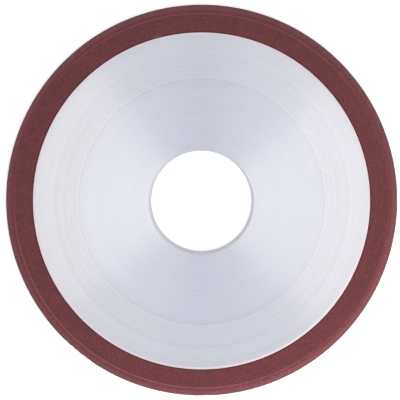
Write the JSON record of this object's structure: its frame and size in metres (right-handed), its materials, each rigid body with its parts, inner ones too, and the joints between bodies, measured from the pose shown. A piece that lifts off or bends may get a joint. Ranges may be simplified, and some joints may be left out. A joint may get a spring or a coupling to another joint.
{
  "type": "grinding wheel",
  "caption": "Tapered grinding wheel with a red-brown resin-bond abrasive rim on a turned aluminium core, lying on its flat back.",
  "frame": {"origin": "centre of the bore on the flat back face that the wheel lies on", "axes": "+Z along the bore axis, from the flat back towards the tapered side and the hub face; X and Y are equal by symmetry"},
  "size_m": [0.125, 0.125, 0.01],
  "materials": {
    "core_aluminium": "fine turned",
    "rim_resin": "fine grained resin bond"
  },
  "bodies": {
    "root": {"aluminium_core": "core_aluminium", "abrasive_rim": "rim_resin"}
  },
  "joints": []
}
